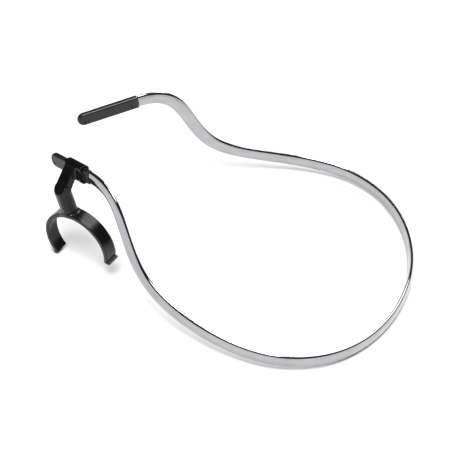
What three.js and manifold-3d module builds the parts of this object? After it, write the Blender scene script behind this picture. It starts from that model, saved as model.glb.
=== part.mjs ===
// Behind-the-neck headset band: one springy loop of flat polished steel with a soft sleeve on each
// end, and an earpiece clip that slides along the left sleeve.
// Millimetres. +X is the wearer's right, +Y is forward from the nape, +Z is up. The band stands on its
// lower edge at the back and on the front lip of the clip's ring.
import * as THREE from "three";
import { mergeVertices } from "three/addons/utils/BufferGeometryUtils.js";
import Module from "manifold-3d";

const wasm = await Module();
wasm.setup();

// ---- driving dimensions ----

const FIT_GAP = 0.3;                    // clearance between neighbouring pieces
const OVERCUT = 1;                      // how far a cutter runs past the face it opens

const BAND = { height: 6.6, thickness: 2.4, edgeRadius: 1.1, steps: 120 };
// Each end of the band is stepped down to a narrower tang, which the sleeve covers.
const TANG = { length: 24, height: 4.4, thickness: 1, edgeRadius: 0.3, root: 2 };

// Control points of the right half of the band's centre line, from the nape to the sleeve, with the
// outward lean of the band's upper edge in degrees. The left half is their mirror image.
const HALF_LOOP = [
  { x: 3.5, y: -85, z: 4.5, lean: 1 },
  { x: 24.5, y: -83, z: 2.7, lean: 2 },
  { x: 55, y: -70, z: 3.5, lean: 3 },
  { x: 75, y: -40, z: 5.5, lean: 2 },
  { x: 68.5, y: -1.5, z: 8, lean: -2 },
  { x: 52.5, y: 32, z: 15.5, lean: -5 },
  { x: 45, y: 42, z: 47.5, lean: -4 },
  { x: 34, y: 57.5, z: 56, lean: -2 },
  { x: 11, y: 93.5, z: 33, lean: -1 },
];

const SLEEVE = { length: 30.6, height: 6.8, thickness: 2.9, edgeRadius: 1.2 };
const PIN_HOLE = { diameter: 0.9, fromEnd: 3.3, drop: 1.3 };

// The clip is drawn on the left sleeve's own axes: x forward along the sleeve from its rear end,
// y outward from the head, z up the sleeve.
const SLIDER = { rear: 4, length: 13.2, wall: 0.7, cornerRadius: 1.9, notchRadius: 2.1, notchDrop: 0.9 };
const ARM = { x: 12.1, width: 7.4, thickness: 4.3, splay: 37, faceLength: 14.9 };
const POST = { depth: 7.2, cornerRadius: 3, tilt: 11.5, setback: 0.6, length: 13.7 };
const RING = { outerRadius: 18, wall: 1.5, width: 6.7, yaw: 15, frontArc: 117, rearArc: 114 };
const LIP = { thickness: 1.1, proud: 1.2, grooveWidth: 1, grooveDepth: 0.4 };
const SHOULDER = { depth: 0.5, width: 1.2 };

const REST_PITCH = 0.11;                // degrees

// ---- solids ----

const degrees = THREE.MathUtils.degToRad;

function solidOf(geometry) {
  const positions = geometry.clone();
  positions.deleteAttribute("normal");
  positions.deleteAttribute("uv");
  const merged = mergeVertices(positions, 1e-4);
  return new wasm.Manifold(new wasm.Mesh({
    numProp: 3,
    vertProperties: new Float32Array(merged.attributes.position.array),
    triVerts: new Uint32Array(merged.index.array),
  }));
}

function geometryOf(solid) {
  const mesh = solid.getMesh();
  const geometry = new THREE.BufferGeometry();
  geometry.setAttribute("position", new THREE.BufferAttribute(mesh.vertProperties, 3));
  geometry.setIndex(new THREE.BufferAttribute(mesh.triVerts, 1));
  geometry.computeVertexNormals();
  return geometry;
}

function roundedRectangle(width, height, radius) {
  const x = width / 2;
  const y = height / 2;
  const shape = new THREE.Shape();
  shape.moveTo(x, -y + radius);
  shape.absarc(x - radius, y - radius, radius, 0, Math.PI / 2, false);
  shape.absarc(-x + radius, y - radius, radius, Math.PI / 2, Math.PI, false);
  shape.absarc(-x + radius, -y + radius, radius, Math.PI, 1.5 * Math.PI, false);
  shape.absarc(x - radius, -y + radius, radius, 1.5 * Math.PI, 2 * Math.PI, false);
  return shape;
}

function extrude(shape, depth, curveSegments = 4, steps = 1) {
  return new THREE.ExtrudeGeometry(shape, { depth, steps, curveSegments, bevelEnabled: false });
}

// A matrix whose columns are where a shape's own x, y and extrusion direction go.
function axes(xAxis, yAxis, zAxis, origin = new THREE.Vector3()) {
  return new THREE.Matrix4().makeBasis(xAxis, yAxis, zAxis).setPosition(origin);
}

const X = new THREE.Vector3(1, 0, 0);
const Y = new THREE.Vector3(0, 1, 0);
const Z = new THREE.Vector3(0, 0, 1);

// A shape drawn across the sleeve (y outward, z up), run along x.
function alongSleeve(shape, start, length, curveSegments = 4) {
  return extrude(shape, length, curveSegments).applyMatrix4(axes(Y, Z, X, new THREE.Vector3(start, 0, 0)));
}

// ---- the band ----

// Uniform cubic B-spline through the mirrored control points, with the lean carried alongside.
class NeckLoop extends THREE.Curve {
  constructor(halfPoints) {
    super();
    const mirrored = halfPoints.map((p) => ({ ...p, x: -p.x })).reverse();
    this.points = [...mirrored, ...halfPoints];
    this.arcLengthDivisions = 1500;
  }

  blend(t, key) {
    const spans = this.points.length - 3;
    const first = Math.min(Math.floor(t * spans), spans - 1);
    const u = t * spans - first;
    const weights = [
      (1 - u) ** 3,
      3 * u ** 3 - 6 * u ** 2 + 4,
      -3 * u ** 3 + 3 * u ** 2 + 3 * u + 1,
      u ** 3,
    ];
    return weights.reduce((sum, weight, i) => sum + weight * this.points[first + i][key] / 6, 0);
  }

  getPoint(t, target = new THREE.Vector3()) {
    return target.set(this.blend(t, "x"), this.blend(t, "y"), this.blend(t, "z"));
  }

  // Centre, direction of travel, inward normal and the direction of the band's height at a distance
  // along the band.
  frameAt(distance) {
    const t = this.getUtoTmapping(distance / this.getLength());
    const along = this.getTangent(t);
    const centre = this.getPoint(t);
    const upright = Z.clone().addScaledVector(along, -along.z).normalize();
    const outward = new THREE.Vector3().crossVectors(along, upright);
    const lean = degrees(this.blend(t, "lean"));
    const height = upright.clone().multiplyScalar(Math.cos(lean)).addScaledVector(outward, Math.sin(lean));
    const inward = new THREE.Vector3().crossVectors(height, along);
    return { centre, along, inward, height };
  }
}

const neckLoop = new NeckLoop(HALF_LOOP);

// A straight strip bent round the loop, with a tang at each end.
function springBand() {
  const section = roundedRectangle(BAND.thickness, BAND.height, BAND.edgeRadius);
  const strip = extrude(section, neckLoop.getLength() - 2 * FIT_GAP, 2, BAND.steps);
  const position = strip.attributes.position;
  for (let i = 0; i < position.count; i += 1) {
    const frame = neckLoop.frameAt(position.getZ(i) + FIT_GAP);
    const point = frame.centre
      .addScaledVector(frame.inward, position.getX(i))
      .addScaledVector(frame.height, position.getY(i));
    position.setXYZ(i, point.x, point.y, point.z);
  }
  const tangShape = roundedRectangle(TANG.thickness, TANG.height, TANG.edgeRadius);
  const tangs = ["left", "right"].map((side) =>
    alongSleeve(tangShape, -TANG.root, TANG.root + TANG.length, 2).applyMatrix4(endAxes(side)));
  return tangs.reduce((solid, tang) => solid.add(solidOf(tang)), solidOf(strip));
}

// Axes of the band's end, with x pointing off the end and z up the band.
function endAxes(side) {
  const frame = neckLoop.frameAt(side === "left" ? 0 : neckLoop.getLength());
  const forward = side === "left" ? frame.along.clone().negate() : frame.along;
  return axes(forward, new THREE.Vector3().crossVectors(frame.height, forward), frame.height, frame.centre);
}

// ---- the sleeve, the same piece at both ends ----

function sleeve() {
  const { length, height, thickness, edgeRadius } = SLEEVE;
  const tipRadius = height / 2 - edgeRadius;
  const outline = new THREE.Shape();
  outline.moveTo(-OVERCUT - edgeRadius, -tipRadius);
  outline.absarc(length - height / 2, 0, tipRadius, -Math.PI / 2, Math.PI / 2, false);
  outline.lineTo(-OVERCUT - edgeRadius, tipRadius);
  const body = new THREE.ExtrudeGeometry(outline, {
    depth: thickness - 2 * edgeRadius,
    curveSegments: 12,
    bevelThickness: edgeRadius,
    bevelSize: edgeRadius,
    bevelSegments: 4,
  });
  const origin = new THREE.Vector3(0, thickness / 2 - edgeRadius, 0);
  body.applyMatrix4(axes(X, Z, Y.clone().negate(), origin));

  const behindEnd = new THREE.BoxGeometry(2 * height, 2 * height, 2 * height).translate(-height, 0, 0);
  const pocketShape = roundedRectangle(
    TANG.thickness + 2 * FIT_GAP, TANG.height + 2 * FIT_GAP, TANG.edgeRadius + FIT_GAP);
  const pocket = alongSleeve(pocketShape, -OVERCUT, OVERCUT + TANG.length + FIT_GAP);
  const holes = [PIN_HOLE.fromEnd, length - PIN_HOLE.fromEnd].map((x) =>
    new THREE.CylinderGeometry(PIN_HOLE.diameter / 2, PIN_HOLE.diameter / 2, 2 * thickness, 12)
      .translate(x, 0, -PIN_HOLE.drop));
  const cutters = [behindEnd, pocket, ...holes];
  return cutters.reduce((solid, cutter) => solid.subtract(solidOf(cutter)), solidOf(body));
}

// ---- the earpiece clip: slider, arm, post and snap ring moulded as one ----

const sliderHalfThickness = SLEEVE.thickness / 2 + FIT_GAP + SLIDER.wall;
const sliderHalfHeight = SLEEVE.height / 2 + FIT_GAP + SLIDER.wall;

// The arm's flat face starts at the slider's upper outer edge and splays outward on its way down.
const faceTop = new THREE.Vector3(ARM.x, sliderHalfThickness, sliderHalfHeight - SLIDER.cornerRadius / 2);
const faceDown = new THREE.Vector3(0, Math.sin(degrees(ARM.splay)), -Math.cos(degrees(ARM.splay)));
const faceNormal = new THREE.Vector3().crossVectors(X, faceDown);
const faceEnd = faceTop.clone().addScaledVector(faceDown, ARM.faceLength);

// The post drops from behind the end of that face, leaning in towards the ear.
const postDown = new THREE.Vector3(0, -Math.sin(degrees(POST.tilt)), -Math.cos(degrees(POST.tilt)));
const postFront = new THREE.Vector3().crossVectors(X, postDown);
const postTop = faceEnd.clone()
  .addScaledVector(faceDown, -ARM.width / 2)
  .addScaledVector(postFront, -POST.setback);
const ringTop = postTop.clone().addScaledVector(postDown, POST.length);
const ringCentre = ringTop.clone().addScaledVector(postDown, RING.outerRadius);

function sliderShell() {
  const shape = roundedRectangle(2 * sliderHalfThickness, 2 * sliderHalfHeight, SLIDER.cornerRadius);
  return solidOf(alongSleeve(shape, SLIDER.rear, SLIDER.length, 6));
}

function sliderBore() {
  const shape = roundedRectangle(
    SLEEVE.thickness + 2 * FIT_GAP, SLEEVE.height + 2 * FIT_GAP, SLEEVE.edgeRadius + FIT_GAP);
  return solidOf(alongSleeve(shape, SLIDER.rear - OVERCUT, SLIDER.length + 2 * OVERCUT));
}

// A round bite out of the rear edge of the slider's outer wall.
function rearNotch() {
  const { rear, notchRadius, notchDrop } = SLIDER;
  const cutter = new THREE.CylinderGeometry(notchRadius, notchRadius, sliderHalfThickness, 24);
  return solidOf(cutter.translate(rear, (SLEEVE.thickness + sliderHalfThickness) / 2, -notchDrop));
}

// A slab that starts inside the slider's outer wall, with the flat face's round-ended outline.
function upperArm() {
  const half = ARM.width / 2;
  const outline = new THREE.Shape();
  outline.moveTo(-half, 0);
  outline.lineTo(half, 0);
  outline.absarc(0, ARM.faceLength - half, half, 0, Math.PI, false);
  const depth = 2 * ARM.thickness;
  const slab = extrude(outline, depth, 12)
    .translate(0, 0, -depth)
    .applyMatrix4(axes(X, faceDown, faceNormal, faceTop));

  const profile = new THREE.Shape();
  const rootY = SLEEVE.thickness / 2 + FIT_GAP + SLIDER.wall / 2;
  const backTop = faceTop.clone().addScaledVector(faceNormal, -ARM.thickness);
  const backEnd = faceEnd.clone().addScaledVector(faceNormal, -ARM.thickness);
  profile.moveTo(faceTop.y, faceTop.z);
  profile.lineTo(rootY, faceTop.z);
  profile.lineTo(rootY, -SLEEVE.height / 4);
  profile.lineTo(backEnd.y, backEnd.z);
  profile.lineTo(faceEnd.y, faceEnd.z);
  const side = alongSleeve(profile, ARM.x - ARM.width, 2 * ARM.width);
  return solidOf(slab).intersect(solidOf(side));
}

function lowerPost() {
  const shape = roundedRectangle(ARM.width, POST.depth, POST.cornerRadius);
  const column = extrude(shape, POST.length + RING.wall / 2, 6)
    .applyMatrix4(axes(X, postFront.clone().negate(), postDown, postTop));
  const reach = 2 * ARM.faceLength;
  const beyondFace = new THREE.BoxGeometry(reach, 2 * reach, reach)
    .translate(0, 0, reach / 2)
    .applyMatrix4(axes(X, faceDown, faceNormal, faceTop));
  return solidOf(column).subtract(solidOf(beyondFace));
}

function ringPoint(radius, angle) {
  return new THREE.Vector2(radius * Math.sin(angle), radius * Math.cos(angle));
}

// C-shaped outline in the ring's plane, open at the bottom, with a lip and a groove at each end.
function ringOutline() {
  const outer = RING.outerRadius;
  const inner = outer - RING.wall;
  const front = degrees(-RING.frontArc);
  const rear = degrees(RING.rearArc);
  const lipAngle = LIP.thickness / outer;
  const grooveAngle = LIP.grooveWidth / outer;
  const outline = new THREE.Shape();
  const arc = (radius, from, to) => {
    outline.absarc(0, 0, radius, Math.PI / 2 - from, Math.PI / 2 - to, to > from);
  };
  const radial = (radius, angle) => {
    const point = ringPoint(radius, angle);
    outline.lineTo(point.x, point.y);
  };
  const start = ringPoint(outer + LIP.proud, front);
  outline.moveTo(start.x, start.y);
  radial(outer + LIP.proud, front + lipAngle);
  radial(outer - LIP.grooveDepth, front + lipAngle);
  radial(outer - LIP.grooveDepth, front + lipAngle + grooveAngle);
  arc(outer, front + lipAngle + grooveAngle, rear - lipAngle - grooveAngle);
  radial(outer - LIP.grooveDepth, rear - lipAngle - grooveAngle);
  radial(outer - LIP.grooveDepth, rear - lipAngle);
  radial(outer + LIP.proud, rear - lipAngle);
  radial(outer + LIP.proud, rear);
  arc(inner, rear, front);
  return outline;
}

function snapRing() {
  const turn = new THREE.Quaternion().setFromAxisAngle(postDown, degrees(-RING.yaw));
  const ringAxis = postFront.clone().applyQuaternion(turn);
  const rearward = X.clone().negate().applyQuaternion(turn);
  const base = ringCentre.clone().addScaledVector(ringAxis, -RING.width / 2);
  const placed = axes(rearward, postDown.clone().negate(), ringAxis, base);
  const wall = new THREE.ExtrudeGeometry(ringOutline(), {
    depth: RING.width,
    curveSegments: 40,
    bevelEnabled: false,
  }).applyMatrix4(placed);

  const shoulderShape = new THREE.Shape();
  const outerRadius = RING.outerRadius - RING.wall / 2;
  const innerRadius = RING.outerRadius - RING.wall - SHOULDER.depth;
  const front = Math.PI / 2 + degrees(RING.frontArc);
  const rear = Math.PI / 2 - degrees(RING.rearArc);
  shoulderShape.absarc(0, 0, outerRadius, front, rear, true);
  shoulderShape.absarc(0, 0, innerRadius, rear, front, false);
  const shoulder = extrude(shoulderShape, SHOULDER.width, 40)
    .translate(0, 0, RING.width - SHOULDER.width)
    .applyMatrix4(placed);
  return solidOf(wall).add(solidOf(shoulder));
}

function earpieceClip() {
  return sliderShell()
    .add(upperArm())
    .add(lowerPost())
    .add(snapRing())
    .subtract(sliderBore())
    .subtract(rearNotch());
}

// ---- materials ----

function finish(color, roughness, metalness) {
  return new THREE.MeshStandardMaterial({ color, roughness, metalness });
}

const polishedSteel = finish(0xbcbcc1, 0.12, 1);
const softSleeve = finish(0x3a3a3c, 0.6, 0);
const blackPlastic = finish(0x111011, 0.35, 0);

// ---- the assembly ----

function named(name, solid, material) {
  const mesh = new THREE.Mesh(geometryOf(solid), material);
  mesh.name = name;
  return mesh;
}

function atEnd(side, ...meshes) {
  const group = new THREE.Group();
  group.applyMatrix4(endAxes(side));
  group.add(...meshes);
  return group;
}

const neckband = new THREE.Group();
neckband.add(
  named("spring_band", springBand(), polishedSteel),
  atEnd(
    "left",
    named("left_sleeve", sleeve(), softSleeve),
    named("earpiece_clip", earpieceClip(), blackPlastic),
  ),
  atEnd("right", named("right_sleeve", sleeve(), softSleeve)),
);

// Tip the loop back until the ring's front lip is level with the band's lower edge, then stand both on
// z = 0 with the footprint centred on the origin.
neckband.rotation.x = degrees(REST_PITCH);
const bounds = new THREE.Box3().setFromObject(neckband, true);
const middle = bounds.getCenter(new THREE.Vector3());
neckband.position.set(-middle.x, -middle.y, -bounds.min.z);

export default neckband;
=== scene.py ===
"""Looks of the behind-the-neck headset neckband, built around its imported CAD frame.

Shapes are drawn in millimetres, as on a drawing, and turned into metres when a mesh is made.
"""

import math

import bpy
import numpy as np
from mathutils import Matrix, Vector


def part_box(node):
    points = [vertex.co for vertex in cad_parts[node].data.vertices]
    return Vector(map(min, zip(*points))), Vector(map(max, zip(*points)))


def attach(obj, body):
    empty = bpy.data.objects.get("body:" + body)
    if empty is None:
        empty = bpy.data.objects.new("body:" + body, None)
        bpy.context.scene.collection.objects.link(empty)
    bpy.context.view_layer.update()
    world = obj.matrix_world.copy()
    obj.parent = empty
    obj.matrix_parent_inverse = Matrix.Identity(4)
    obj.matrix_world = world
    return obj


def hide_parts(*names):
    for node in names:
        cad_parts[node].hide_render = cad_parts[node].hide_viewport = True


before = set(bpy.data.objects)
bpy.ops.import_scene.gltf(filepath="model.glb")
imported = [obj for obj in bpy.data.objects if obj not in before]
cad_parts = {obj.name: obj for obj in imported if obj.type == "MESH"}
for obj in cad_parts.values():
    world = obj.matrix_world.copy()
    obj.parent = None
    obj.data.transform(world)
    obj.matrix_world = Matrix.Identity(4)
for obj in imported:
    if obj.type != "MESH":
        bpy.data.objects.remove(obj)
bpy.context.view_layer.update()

MM = 0.001

# ---- driving dimensions, in millimetres ----

FIT_GAP = 0.3                           # between two pieces that fit into each other
REST_PITCH = math.radians(0.11)         # turn about X from the drawing to the way it rests

BAND_HEIGHT = 6.6
BAND_THICKNESS = 2.4
BAND_FULLNESS = 2.2                     # exponent of the flat oval: 2 is an ellipse, more is squarer
BAND_END_BEVEL = 0.12
TANG_HEIGHT = 4.4
TANG_THICKNESS = 1.0
TANG_LENGTH = 24.0

# The right half of the band's centre line as spline control points x, y, z, with the outward lean of its
# upper edge in degrees. The left half mirrors it.
HALF_LOOP = np.array([
    (3.5, -85, 4.5, 1),
    (24.5, -83, 2.7, 2),
    (55, -70, 3.5, 3),
    (75, -40, 5.5, 2),
    (68.5, -1.5, 8, -2),
    (52.5, 32, 15.5, -5),
    (45, 42, 47.5, -4),
    (34, 57.5, 56, -2),
    (11, 93.5, 33, -1),
])

SLEEVE_LENGTH = 30.6
SLEEVE_HEIGHT = 6.8
SLEEVE_THICKNESS = 2.9
SLEEVE_EDGE = 1.2
POCKET_CORNER = 0.5
PIN_HOLE_RADIUS = 0.5
PIN_HOLE_FROM_END = 3.3
PIN_HOLE_DROP = 1.3

SLIDER_REAR = 4.0                       # from the band's end to the slider's rear rim
SLIDER_LENGTH = 13.2
SLIDER_WALL = 0.7
SLIDER_CORNER = 1.9
SLIDER_RIM_EDGE = 0.25
NOTCH_RADIUS = 2.1
NOTCH_DROP = 0.9

ARM_X = 12.1                            # from the band's end to the middle of the arm
ARM_WIDTH = 7.4
ARM_THICKNESS = 4.3
ARM_SPLAY = math.radians(37)
ARM_LENGTH = 14.9

POST_DEPTH = 7.2
POST_CORNER = 3.0
POST_TILT = math.radians(11.5)
POST_SETBACK = 0.6
POST_LENGTH = 13.7

RING_RADIUS = 18.0                      # to the outside of its wall
RING_WALL = 1.5
RING_WIDTH = 6.7
RING_EDGE = 0.22
RING_YAW = math.radians(15)
RING_FRONT_ARC = math.radians(117)      # from the post down to each lip
RING_REAR_ARC = math.radians(114)
SHOULDER_DEPTH = 0.5
SHOULDER_WIDTH = 1.2
SHOULDER_EDGE = 0.2
LIP_THICKNESS = 1.1
LIP_PROUD = 1.2
LIP_EDGE = 0.25
GROOVE_WIDTH = 1.0
GROOVE_DEPTH = 0.4
GROOVE_CORNER = 0.2

# A blend is how far apart two surfaces start to round into one another.
SLEEVE_MOUTH_BLEND = 0.35
POCKET_BLEND = 0.2
PIN_HOLE_BLEND = 0.06
FLAT_FACE_BLEND = 0.35
ARM_BACK_BLEND = 0.5
SHOULDER_BLEND = 0.25
RING_END_BLEND = 0.2
ARM_TO_SLIDER_BLEND = 1.0
ARM_TO_POST_BLEND = 0.6
POST_TO_RING_BLEND = 1.6
BORE_BLEND = 0.25
NOTCH_BLEND = 0.4

# How finely the pieces are made, and the clear space that a moulded shape has in the grid it is meshed on.
SPLINE_SAMPLES = 3001
BAND_STATIONS = 900
CLIP_PITCH = 0.15
SLEEVE_PITCH = 0.12
SLEEVE_MARGIN = 0.5
CLIP_MARGIN = 1.0
RING_MARGIN = 1.5
MAP_UNIT = 10                           # millimetres of strip to one unit of its map


# ---- the band's centre line ----

def unit(v):
    """Each vector at length one."""
    return v / np.linalg.norm(v, axis=-1, keepdims=True)


class NeckLoop:
    """Uniform cubic B-spline through the mirrored control points, measured by distance along it."""

    def __init__(self, half):
        self.points = np.vstack([half[::-1] * (-1, 1, 1, 1), half])
        self.spans = len(self.points) - 3
        self.t = np.linspace(0, 1, SPLINE_SAMPLES)
        steps = np.linalg.norm(np.diff(self.weigh(self.t)[:, :3], axis=0), axis=1)
        self.distance = np.concatenate([[0], np.cumsum(steps)])
        self.length = self.distance[-1]

    def weigh(self, t, slope=False):
        """The control points weighted at t, or their rate of change; t runs from 0 to 1 along the loop."""
        first = np.minimum((t * self.spans).astype(int), self.spans - 1)
        u = t * self.spans - first
        if slope:
            weights = [-(1 - u) ** 2 / 2, 1.5 * u**2 - 2 * u, -1.5 * u**2 + u + 0.5, u**2 / 2]
        else:
            rising = -u**3 / 2 + u**2 / 2 + u / 2 + 1 / 6
            weights = [(1 - u) ** 3 / 6, u**3 / 2 - u**2 + 2 / 3, rising, u**3 / 6]
        return sum(w[:, None] * self.points[first + i] for i, w in enumerate(weights))

    def frames(self, distance):
        """Centre, direction of travel, inward normal and height direction; straight past either end."""
        inside = np.clip(distance, 0, self.length)
        t = np.interp(inside, self.distance, self.t)
        here = self.weigh(t)
        along = unit(self.weigh(t, slope=True)[:, :3])
        centre = here[:, :3] + along * (distance - inside)[:, None]
        upright = unit(np.array([0, 0, 1]) - along * along[:, 2:])
        lean = np.radians(here[:, 3:])
        height = upright * np.cos(lean) + np.cross(along, upright) * np.sin(lean)
        return centre, along, np.cross(height, along), height


loop = NeckLoop(HALF_LOOP)


def end_matrix(side):
    """Axes of one end of the band, with x off the end and z up the band, in the drawing's millimetres."""
    centre, along, _, height = (v[0] for v in loop.frames(np.array([0 if side == "left" else loop.length])))
    forward = -along if side == "left" else along
    matrix = np.eye(4)
    matrix[:3, :] = np.column_stack([forward, np.cross(height, forward), height, centre])
    return matrix


# ---- meshes ----

def new_object(name, points, faces, matrix=np.eye(4)):
    """A smooth-shaded mesh from millimetres, placed by a matrix of the drawing."""
    points = points @ matrix[:3, :3].T + matrix[:3, 3]
    mesh = bpy.data.meshes.new(name)
    mesh.from_pydata((points * MM).tolist(), [], faces)
    mesh.polygons.foreach_set("use_smooth", [True] * len(mesh.polygons))
    mesh.update()
    obj = bpy.data.objects.new(name, mesh)
    bpy.context.scene.collection.objects.link(obj)
    return obj


def oval_section(thickness, height, count=64):
    """A flat oval as points (inward, height), anticlockwise."""
    angle = np.arange(count) * 2 * math.pi / count
    across, up = np.cos(angle), np.sin(angle)
    reach = (np.abs(across) ** BAND_FULLNESS + np.abs(up) ** BAND_FULLNESS) ** (-1 / BAND_FULLNESS)
    return np.column_stack([across * reach * thickness / 2, up * reach * height / 2])


def sweep(name, distances, sections):
    """A closed strip through one section at each distance, with a map of distance and girth."""
    centre, _, inward, height = loop.frames(distances)
    points = centre[:, None] + inward[:, None] * sections[:, :, :1]
    points = points + height[:, None] * sections[:, :, 1:]
    rings, count = points.shape[:2]
    faces = []
    for i in range(rings - 1):
        here, ahead = i * count, (i + 1) * count
        for j in range(count):
            beside = (j + 1) % count
            faces.append((here + j, here + beside, ahead + beside, ahead + j))
    faces += [tuple(reversed(range(count))), tuple(range((rings - 1) * count, rings * count))]
    obj = new_object(name, points.reshape(-1, 3), faces)
    girth = np.linspace(0, BAND_HEIGHT * 2 + BAND_THICKNESS * 2, count + 1)
    layer = obj.data.uv_layers.new(name="strip")
    for face in obj.data.polygons:
        for k, loop_index in enumerate(face.loop_indices):
            ring, column = divmod(face.vertices[k], count)
            wrapped = count if column == 0 and max(v % count for v in face.vertices) == count - 1 else column
            layer.data[loop_index].uv = (distances[ring] / MAP_UNIT, girth[wrapped] / MAP_UNIT)
    return obj


def spring_band():
    """The polished strip with a bevel at each end, and the thin tangs that carry on into the sleeves."""
    start, end = FIT_GAP, loop.length - FIT_GAP
    distances = np.concatenate([
        [-TANG_LENGTH, start - BAND_END_BEVEL, start - BAND_END_BEVEL / 2],
        np.linspace(start, end, BAND_STATIONS),
        [end + BAND_END_BEVEL / 2, end + BAND_END_BEVEL, loop.length + TANG_LENGTH]])
    full = oval_section(BAND_THICKNESS, BAND_HEIGHT)
    shrunk = oval_section(BAND_THICKNESS - 2 * BAND_END_BEVEL, BAND_HEIGHT - 2 * BAND_END_BEVEL)
    tang = oval_section(TANG_THICKNESS, TANG_HEIGHT)
    sections = np.stack([tang, tang, shrunk] + [full] * BAND_STATIONS + [shrunk, tang, tang])
    return sweep("spring_band_fine", distances, sections)


# ---- moulded shapes, as distance fields ----

def smooth_min(a, b, blend):
    """Both shapes joined, with a fillet where they meet."""
    near = np.maximum(blend - np.abs(a - b), 0) / blend
    return np.minimum(a, b) - near * near * blend / 4


def smooth_max(a, b, blend):
    """What both shapes share, with a rounded edge where they meet."""
    return -smooth_min(-a, -b, blend)


def rounded_rectangle_field(u, v, half_u, half_v, radius):
    du = np.abs(u) - half_u + radius
    dv = np.abs(v) - half_v + radius
    return np.hypot(np.maximum(du, 0), np.maximum(dv, 0)) + np.minimum(np.maximum(du, dv), 0) - radius


def thick(outline, depth, half_depth, edge):
    """An outline's distance, extruded to a half depth with rounded edges."""
    a = outline + edge
    b = np.abs(depth) - half_depth + edge
    return np.hypot(np.maximum(a, 0), np.maximum(b, 0)) + np.minimum(np.maximum(a, b), 0) - edge


def distance_along(x, y, z, direction, origin):
    """How far each point lies from an origin, counted along a direction."""
    return (x - origin[0]) * direction[0] + (y - origin[1]) * direction[1] + (z - origin[2]) * direction[2]


def surface_net(field, low, high, pitch, rounds=3):
    """Quads over the surface where a field is zero, its points drawn onto the surface itself in rounds."""
    low = np.array(low, float)
    counts = np.ceil((np.array(high) - low) / pitch).astype(int) + 1
    x, y, z = (low[k] + pitch * np.arange(counts[k]) for k in range(3))
    values = np.stack([field(step, y[:, None], z[None, :]) for step in x])
    inside = values < 0
    corners = np.array([(i, j, k) for i in (0, 1) for j in (0, 1) for k in (0, 1)])
    full = counts - 1

    def window(array, corner):
        return array[tuple(slice(c, c + n) for c, n in zip(corner, full))]

    filled = sum(window(inside, c).astype(np.int8) for c in corners)
    cells = np.argwhere((filled > 0) & (filled < 8))
    total, crossings = np.zeros((len(cells), 3)), np.zeros(len(cells))
    for start in corners:
        for axis in np.flatnonzero(start == 0):
            step = np.eye(3, dtype=int)[axis]
            a = values[tuple((cells + start).T)]
            b = values[tuple((cells + start + step).T)]
            crossed = (a < 0) != (b < 0)
            share = np.where(crossed, a / np.where(crossed, a - b, 1), 0)
            total += np.where(crossed[:, None], start + share[:, None] * step, 0)
            crossings += crossed
    points = low + pitch * (cells + total / crossings[:, None])

    index = np.full(full, -1)
    index[tuple(cells.T)] = np.arange(len(cells))
    faces = []
    for axis in range(3):
        step = np.eye(3, dtype=int)[axis]
        b, c = np.eye(3, dtype=int)[[(axis + 1) % 3, (axis + 2) % 3]]
        ahead = inside[tuple(slice(s, None) for s in step)]
        here = inside[tuple(slice(None, -1 if s else None) for s in step)]
        for leaving in (True, False):
            edges = np.argwhere((here != ahead) & (here == leaving))
            ring = [edges, edges - b, edges - b - c, edges - c]
            quad = np.stack([index[tuple(r.T)] for r in ring], axis=1)
            faces.append(quad if leaving else quad[:, ::-1])

    # Each round is a Newton step down the field's slope, kept short where the field is nearly level.
    for _ in range(rounds):
        value = field(*points.T)
        delta = pitch / 10
        slope = np.stack([(field(*(points + delta * e).T) - value) / delta for e in np.eye(3)], axis=1)
        move = -value[:, None] * slope / np.maximum((slope**2).sum(1), 0.1)[:, None]
        points += np.clip(move, -pitch / 2, pitch / 2)
    return points, np.vstack(faces).tolist()


# ---- the sleeve ----

def sleeve_field(x, y, z):
    """A flat moulding with a round tip, a pocket for the tang and two pin-holes."""
    tip = SLEEVE_LENGTH - SLEEVE_HEIGHT / 2
    outline = np.hypot(np.maximum(x - tip, 0), z) - SLEEVE_HEIGHT / 2
    body = thick(outline, y, SLEEVE_THICKNESS / 2, SLEEVE_EDGE)
    body = smooth_max(body, -x, SLEEVE_MOUTH_BLEND)
    pocket = rounded_rectangle_field(
        y, z, TANG_THICKNESS / 2 + FIT_GAP, TANG_HEIGHT / 2 + FIT_GAP, POCKET_CORNER)
    pocket = np.maximum(pocket, x - TANG_LENGTH - FIT_GAP)
    body = smooth_max(body, -pocket, POCKET_BLEND)
    for hole_x in (PIN_HOLE_FROM_END, SLEEVE_LENGTH - PIN_HOLE_FROM_END):
        hole = np.hypot(x - hole_x, z + PIN_HOLE_DROP) - PIN_HOLE_RADIUS
        body = smooth_max(body, -hole, PIN_HOLE_BLEND)
    return body


def sleeve(side):
    half_y = SLEEVE_THICKNESS / 2 + SLEEVE_MARGIN
    half_z = SLEEVE_HEIGHT / 2 + SLEEVE_MARGIN
    low = (-SLEEVE_MARGIN, -half_y, -half_z)
    high = (SLEEVE_LENGTH + SLEEVE_MARGIN, half_y, half_z)
    points, faces = surface_net(sleeve_field, low, high, SLEEVE_PITCH)
    return new_object(f"{side}_sleeve_moulding", points, faces, end_matrix(side))


# ---- the earpiece clip ----

BORE_HALF_Y = SLEEVE_THICKNESS / 2 + FIT_GAP
BORE_HALF_Z = SLEEVE_HEIGHT / 2 + FIT_GAP
SLIDER_HALF_Y = BORE_HALF_Y + SLIDER_WALL
SLIDER_HALF_Z = BORE_HALF_Z + SLIDER_WALL

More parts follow.
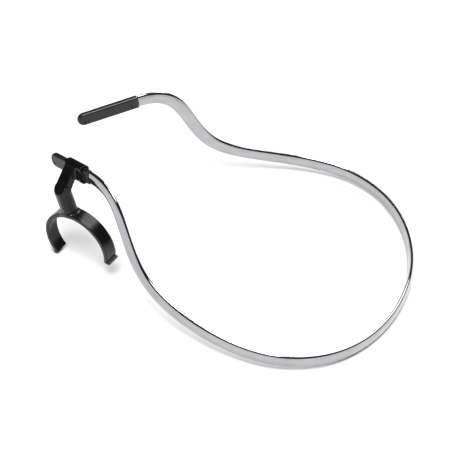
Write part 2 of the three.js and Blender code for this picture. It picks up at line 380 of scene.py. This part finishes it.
# The clip's own points and directions, with x along the sleeve to its tip and z up the sleeve's height.
X_AXIS = np.array([1.0, 0, 0])
face_top = np.array([ARM_X, SLIDER_HALF_Y, SLIDER_HALF_Z - SLIDER_CORNER / 2])
face_down = np.array([0, math.sin(ARM_SPLAY), -math.cos(ARM_SPLAY)])
face_normal = np.cross(X_AXIS, face_down)
face_end = face_top + face_down * ARM_LENGTH
post_down = np.array([0, -math.sin(POST_TILT), -math.cos(POST_TILT)])
post_front = np.cross(X_AXIS, post_down)
post_top = face_end - face_down * ARM_WIDTH / 2 - post_front * POST_SETBACK
ring_centre = post_top + post_down * (POST_LENGTH + RING_RADIUS)


def turned(v, axis, angle):
    return np.array(Matrix.Rotation(angle, 3, Vector(axis)) @ Vector(v))


ring_axis = turned(post_front, post_down, -RING_YAW)
ring_rear = turned(-X_AXIS, post_down, -RING_YAW)


def slider_field(x, y, z):
    section = rounded_rectangle_field(y, z, SLIDER_HALF_Y, SLIDER_HALF_Z, SLIDER_CORNER)
    return thick(section, x - SLIDER_REAR - SLIDER_LENGTH / 2, SLIDER_LENGTH / 2, SLIDER_RIM_EDGE)


def bore_field(y, z):
    """The sleeve's section with a running gap all round."""
    return rounded_rectangle_field(y, z, BORE_HALF_Y, BORE_HALF_Z, SLEEVE_EDGE + FIT_GAP)


def notch_field(x, y, z):
    """A half-round notch in the rear rim, through the outer wall only."""
    hole = np.hypot(x - SLIDER_REAR, z + NOTCH_DROP) - NOTCH_RADIUS
    return np.maximum(hole, SLEEVE_THICKNESS / 2 - y)


def arm_field(x, y, z):
    """The convex side profile of the arm, cut to the flat face's round-ended outline."""
    root_y = BORE_HALF_Y + SLIDER_WALL / 2
    root_z = -SLEEVE_HEIGHT / 4
    back_end = face_end - face_normal * ARM_THICKNESS
    back = unit(np.array([0, back_end[2] - root_z, root_y - back_end[1]]))
    u = x - ARM_X
    v = distance_along(x, y, z, face_down, face_top)
    outline = np.hypot(u, np.maximum(v - (ARM_LENGTH - ARM_WIDTH / 2), 0)) - ARM_WIDTH / 2
    face = distance_along(x, y, z, face_normal, face_top)
    profile = np.maximum(root_y - y, z - face_top[2])
    profile = np.maximum(profile, distance_along(x, y, z, back, (0, root_y, root_z)))
    return smooth_max(smooth_max(outline, face, FLAT_FACE_BLEND), profile, ARM_BACK_BLEND)


def post_field(x, y, z):
    """The round-cornered post, cut off above by the plane of the arm's flat face."""
    front = distance_along(x, y, z, post_front, post_top)
    down = distance_along(x, y, z, post_down, post_top)
    section = rounded_rectangle_field(x - ARM_X, front, ARM_WIDTH / 2, POST_DEPTH / 2, POST_CORNER)
    ends = np.maximum(-down, down - POST_LENGTH - RING_WALL / 2)
    face = distance_along(x, y, z, face_normal, face_top)
    return smooth_max(np.maximum(section, ends), face, FLAT_FACE_BLEND)


def ring_wall_field(radius, w):
    """The ring's wall, with a shoulder inside one edge, as a full circle."""
    middle = RING_RADIUS - RING_WALL / 2
    wall = thick(np.abs(radius - middle) - RING_WALL / 2, w, RING_WIDTH / 2, RING_EDGE)
    deep = RING_WALL + SHOULDER_DEPTH
    shoulder = thick(
        np.abs(radius - RING_RADIUS + deep / 2) - deep / 2,
        w - RING_WIDTH / 2 + SHOULDER_WIDTH / 2, SHOULDER_WIDTH / 2, SHOULDER_EDGE)
    return smooth_min(wall, shoulder, SHOULDER_BLEND)


def lip_field(out, past, w):
    """The flange across one end of the ring."""
    reach = RING_WALL + LIP_PROUD
    middle = RING_RADIUS + LIP_PROUD - reach / 2
    outline = rounded_rectangle_field(
        out - middle, past + LIP_THICKNESS / 2, reach / 2, LIP_THICKNESS / 2, LIP_EDGE)
    return thick(outline, w, RING_WIDTH / 2, LIP_EDGE)


def groove_field(out, past):
    """The shallow groove in the ring's outside, next to a lip."""
    middle = past + LIP_THICKNESS + GROOVE_WIDTH / 2
    return rounded_rectangle_field(out - RING_RADIUS, middle, GROOVE_DEPTH, GROOVE_WIDTH / 2, GROOVE_CORNER)


def ring_field(x, y, z):
    """The C-shaped ring, with a lip on each end and a groove beside each lip."""
    u = distance_along(x, y, z, ring_rear, ring_centre)
    v = distance_along(x, y, z, -post_down, ring_centre)
    w = distance_along(x, y, z, ring_axis, ring_centre)
    ring = ring_wall_field(np.hypot(u, v), w)
    for angle, sign in ((RING_REAR_ARC, 1), (-RING_FRONT_ARC, -1)):
        past = (u * math.cos(angle) - v * math.sin(angle)) * sign
        out = u * math.sin(angle) + v * math.cos(angle)
        ring = smooth_max(ring, np.where(out > 0, past, -1), RING_END_BLEND)
        ring = smooth_max(ring, -groove_field(out, past), RING_END_BLEND)
        ring = smooth_min(ring, lip_field(out, past, w), RING_END_BLEND)
    return ring


def clip_field(x, y, z):
    """Slider, arm, post and ring in one moulding, less the bore and the notch."""
    body = smooth_min(slider_field(x, y, z), arm_field(x, y, z), ARM_TO_SLIDER_BLEND)
    body = smooth_min(body, post_field(x, y, z), ARM_TO_POST_BLEND)
    body = smooth_min(body, ring_field(x, y, z), POST_TO_RING_BLEND)
    body = smooth_max(body, -bore_field(y, z), BORE_BLEND)
    return smooth_max(body, -notch_field(x, y, z), NOTCH_BLEND)


def earpiece_clip():
    reach = RING_RADIUS + LIP_PROUD + RING_MARGIN
    sideways = RING_WIDTH / 2 + reach * math.sin(RING_YAW) + CLIP_MARGIN
    low = ring_centre - (reach, sideways, reach)
    high = (ring_centre[0] + reach, face_end[1] + RING_MARGIN, SLIDER_HALF_Z + CLIP_MARGIN)
    points, faces = surface_net(clip_field, low, high, CLIP_PITCH)
    return new_object("earpiece_clip_moulding", points, faces, end_matrix("left"))


# ---- materials ----

class Shader:
    """A material's node tree, with short calls for the nodes that the finishes share.

    The colour and roughness it starts with are plain ones, which the nodes linked later take the place of.
    """

    def __init__(self, name, color, roughness, metallic=0.0):
        self.material = bpy.data.materials.new(name)
        self.material.use_nodes = True
        self.tree = self.material.node_tree
        self.bsdf = self.tree.nodes["Principled BSDF"]
        self.set(self.bsdf, **{"Base Color": (*color, 1), "Roughness": roughness, "Metallic": metallic})
        self.normal = None

    def set(self, node, **values):
        for key, value in values.items():
            if isinstance(value, bpy.types.NodeSocket):
                self.tree.links.new(value, node.inputs[key])
            else:
                node.inputs[key].default_value = value
        return node

    def node(self, kind, **values):
        return self.set(self.tree.nodes.new(kind), **values)

    def coordinates(self, output="Object", scale=(1, 1, 1)):
        place = self.node("ShaderNodeTexCoord").outputs[output]
        return self.node("ShaderNodeMapping", Vector=place, Scale=scale).outputs["Vector"]

    def noise(self, vector, scale, detail=3.0, roughness=0.5):
        return self.node("ShaderNodeTexNoise", Vector=vector, Scale=scale, Detail=detail,
                         Roughness=roughness).outputs["Fac"]

    def remap(self, value, low, high, to_low, to_high):
        """A value between low and high, stretched to lie between to_low and to_high."""
        node = self.node("ShaderNodeMapRange", Value=value)
        for key, number in (("From Min", low), ("From Max", high), ("To Min", to_low), ("To Max", to_high)):
            node.inputs[key].default_value = number
        return node.outputs["Result"]

    def mix_color(self, factor, a, b):
        """Colour a at a factor of 0 and b at 1; the Mix node's colour sockets are told by their place."""
        node = self.tree.nodes.new("ShaderNodeMix")
        node.data_type = "RGBA"
        for socket, value in ((node.inputs[0], factor), (node.inputs[6], a), (node.inputs[7], b)):
            if isinstance(value, bpy.types.NodeSocket):
                self.tree.links.new(value, socket)
            else:
                socket.default_value = value if isinstance(value, float) else (*value, 1)
        return node.outputs[2]

    def add(self, a, b):
        node = self.tree.nodes.new("ShaderNodeMath")
        node.operation = "ADD"
        self.tree.links.new(a, node.inputs[0])
        self.tree.links.new(b, node.inputs[1])
        return node.outputs[0]

    def edges(self, low, high):
        """From 0 on a flat to 1 on a convex edge."""
        pointed = self.node("ShaderNodeNewGeometry").outputs["Pointiness"]
        return self.remap(pointed, low, high, 0, 1)

    def bump(self, height, strength, distance):
        """Relief on top of whatever relief the material has already."""
        node = self.node("ShaderNodeBump", Height=height, Strength=strength, Distance=distance)
        if self.normal is not None:
            self.tree.links.new(self.normal, node.inputs["Normal"])
        self.normal = node.outputs["Normal"]
        self.tree.links.new(self.normal, self.bsdf.inputs["Normal"])


def polished_steel():
    """Mirror-polished strip: fine grain along its length, faint smears and softly waved flats."""
    s = Shader("polished_steel", (0.40, 0.40, 0.42), 0.1, metallic=1.0)
    strip = s.coordinates("UV")
    grain = s.noise(s.coordinates("UV", (0.6, 60, 1)), 6, 4)
    smears = s.noise(s.coordinates("UV", (1, 2.5, 1)), 1.1, 3)
    worn = s.edges(0.52, 0.62)
    rough = s.add(s.remap(grain, 0.3, 0.7, 0.06, 0.11), s.remap(smears, 0.45, 0.75, 0, 0.06))
    s.set(s.bsdf, Roughness=s.add(rough, s.remap(worn, 0, 1, 0, 0.05)))
    tint = s.mix_color(s.remap(smears, 0.3, 0.7, 0, 1), (0.43, 0.43, 0.45), (0.36, 0.36, 0.38))
    s.set(s.bsdf, **{"Base Color": tint})
    s.bump(s.noise(strip, 0.55, 1), 0.2, 0.0004)
    s.bump(grain, 0.06, 0.00002)
    return s.material


def soft_moulding():
    """Dark grey satin rubber with a fine eggshell skin, blotchy in tone and rubbed on its edges."""
    s = Shader("soft_moulding", (0.03, 0.03, 0.033), 0.4)
    place = s.coordinates()
    skin = s.noise(place, 9000, 2)
    blotches = s.noise(place, 260, 4)
    rubbed = s.edges(0.505, 0.56)
    tint = s.mix_color(s.remap(blotches, 0.35, 0.7, 0, 1), (0.009, 0.009, 0.01), (0.015, 0.0147, 0.0155))
    s.set(s.bsdf, **{"Base Color": s.mix_color(rubbed, tint, (0.04, 0.04, 0.041))})
    s.set(s.bsdf, Roughness=s.add(s.remap(blotches, 0.3, 0.7, 0.27, 0.36), s.remap(rubbed, 0, 1, 0, -0.06)))
    s.set(s.bsdf, **{"Specular IOR Level": 0.38})
    s.bump(skin, 0.2, 0.00002)
    s.bump(blotches, 0.06, 0.00006)
    return s.material


def black_plastic():
    """Black semi-gloss moulding with a faint sink and flow pattern, its edges polished by handling."""
    s = Shader("black_plastic", (0.004, 0.0037, 0.0038), 0.22)
    s.set(s.bsdf, **{"Specular IOR Level": 0.3})
    place = s.coordinates()
    flow = s.noise(s.coordinates("Object", (1, 1, 0.5)), 150, 3)
    skin = s.noise(place, 7000, 2)
    rubbed = s.edges(0.51, 0.58)
    tint = s.mix_color(s.remap(flow, 0.35, 0.7, 0, 1), (0.0035, 0.0032, 0.0033), (0.006, 0.0052, 0.0052))
    s.set(s.bsdf, **{"Base Color": s.mix_color(rubbed, tint, (0.012, 0.011, 0.011))})
    s.set(s.bsdf, Roughness=s.add(s.remap(flow, 0.3, 0.7, 0.17, 0.25), s.remap(rubbed, 0, 1, 0, -0.04)))
    s.bump(flow, 0.04, 0.0002)
    s.bump(skin, 0.08, 0.00001)
    return s.material


def pale_floor():
    """Near-white paper, hardly mottled."""
    s = Shader("pale_floor", (0.92, 0.92, 0.92), 0.6)
    shade = s.noise(s.coordinates(), 3, 2)
    s.set(s.bsdf, **{"Base Color": s.mix_color(shade, (0.93, 0.93, 0.93), (0.91, 0.91, 0.915))})
    return s.material


# ---- putting the pieces on the frame ----

def resting_stance(obj, node):
    """The turn and shift that take the drawing to the frame, found by laying a piece in its node's box."""
    pitched = Matrix.Rotation(REST_PITCH, 4, "X")
    points = [pitched @ v.co for v in obj.data.vertices]
    lowest = Vector([min(p[k] for p in points) for k in range(3)])
    return Matrix.Translation(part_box(node)[0] - lowest) @ pitched


def dress(obj, material, body, node):
    """Turns a drawn piece to the stance it has in the frame and gives it its finish."""
    obj.data.transform(stance)
    obj.data.materials.append(material)
    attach(obj, body)
    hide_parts(node)


band = spring_band()
stance = resting_stance(band, "spring_band")
rubber = soft_moulding()
dress(band, polished_steel(), "neckband", "spring_band")
dress(sleeve("left"), rubber, "neckband", "left_sleeve")
dress(sleeve("right"), rubber, "neckband", "right_sleeve")
dress(earpiece_clip(), black_plastic(), "clip", "earpiece_clip")


# ---- studio, in metres ----

def floor(width, drop):
    """A plane a little under the surface the object stands on."""
    bpy.ops.mesh.primitive_plane_add(size=width, location=(0, 0, -drop))
    plane = bpy.context.object
    plane.name = "studio_floor"
    plane.data.materials.append(pale_floor())


def softbox(name, location, size, power):
    """A rectangular light that faces the origin."""
    light = bpy.data.lights.new(name, "AREA")
    light.shape = "RECTANGLE"
    light.size, light.size_y = size
    light.energy = power
    obj = bpy.data.objects.new(name, light)
    bpy.context.scene.collection.objects.link(obj)
    obj.location = location
    obj.rotation_euler = (-Vector(location)).to_track_quat("-Z", "Y").to_euler()


def surroundings(color, strength):
    world = bpy.data.worlds.new("studio")
    world.use_nodes = True
    background = world.node_tree.nodes["Background"]
    background.inputs["Color"].default_value = (*color, 1)
    background.inputs["Strength"].default_value = strength
    bpy.context.scene.world = world


def camera(azimuth, elevation, roll, target, distance, lens, shift):
    """Looks at a target, with angles in degrees and the azimuth counted from -Y towards +X."""
    az, el, tilt = (math.radians(a) for a in (azimuth, elevation, roll))
    back = Vector((math.sin(az) * math.cos(el), -math.cos(az) * math.cos(el), math.sin(el)))
    level = Vector((0, 0, 1)).cross(back).normalized()
    right = level * math.cos(tilt) + back.cross(level) * math.sin(tilt)
    data = bpy.data.cameras.new("camera")
    data.lens = lens
    data.shift_x, data.shift_y = shift
    data.clip_start = 0.01
    obj = bpy.data.objects.new("camera", data)
    axes = Matrix((right, back.cross(right), back)).transposed().to_4x4()
    obj.matrix_world = Matrix.Translation(Vector(target) + back * distance) @ axes
    bpy.context.scene.collection.objects.link(obj)
    bpy.context.scene.camera = obj


floor(width=6, drop=0.0002)
surroundings(color=(0.8, 0.82, 0.86), strength=0.05)
softbox("overhead", location=(-0.5, 0.0, 1.2), size=(0.65, 0.65), power=20)
softbox("far_side", location=(0.62, -0.25, 1.0), size=(0.8, 0.5), power=8)
camera(azimuth=-75.880, elevation=39.765, roll=3.726, target=(0, 0.00836, 0.01627), distance=0.61307,
       lens=100.76, shift=(0.0240, -0.0217))
bpy.context.scene.view_settings.view_transform = "Standard"
